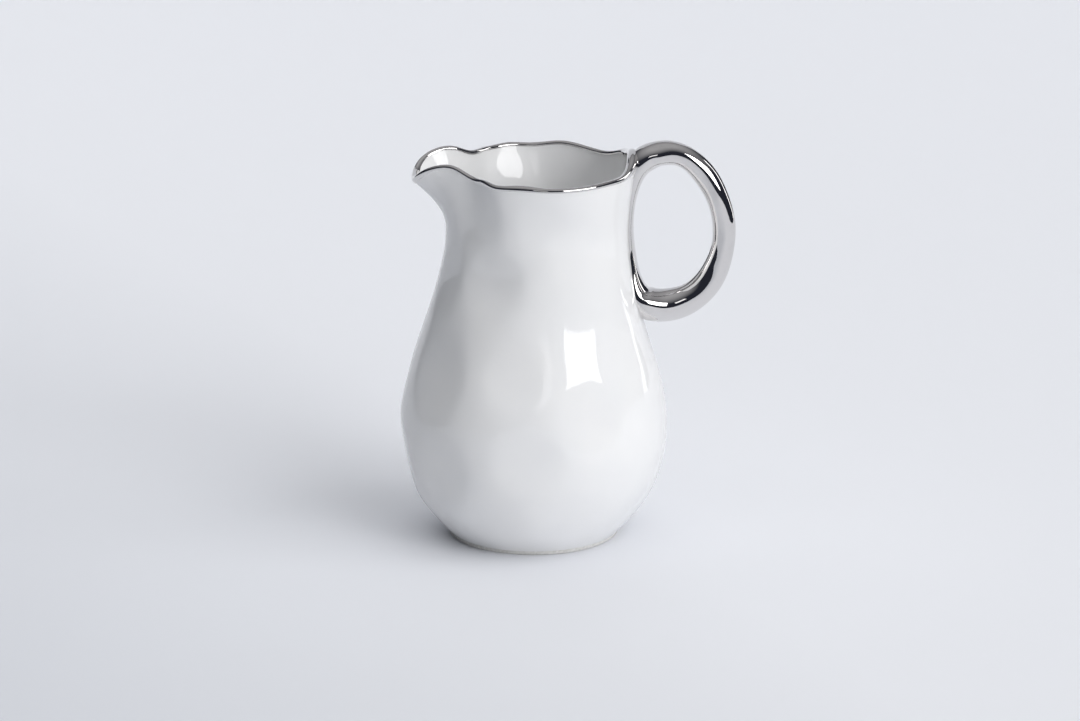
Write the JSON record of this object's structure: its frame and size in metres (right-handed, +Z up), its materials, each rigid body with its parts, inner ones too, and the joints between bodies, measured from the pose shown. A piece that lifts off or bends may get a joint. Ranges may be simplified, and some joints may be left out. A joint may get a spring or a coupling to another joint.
{
  "type": "water pitcher",
  "caption": "White glazed porcelain water pitcher with a waved lip, a pouring spout and a metal-plated ring handle.",
  "frame": {"origin": "centre of the foot, on the surface that the pitcher stands on", "axes": "+Z up, +X towards the handle, the spout on -X"},
  "size_m": [0.1969, 0.1553, 0.2373],
  "materials": {
    "glaze": "glossy white glaze",
    "dry_foot": "unglazed, lightly ground",
    "bisque": "unglazed cast porcelain",
    "plating": "mirror polished silver plating"
  },
  "bodies": {
    "root": {"body": "glaze", "foot_ring": "dry_foot", "rim_plating": "plating", "handle_core": "bisque", "handle_plating": "plating", "slip_seam": "bisque"}
  },
  "joints": []
}
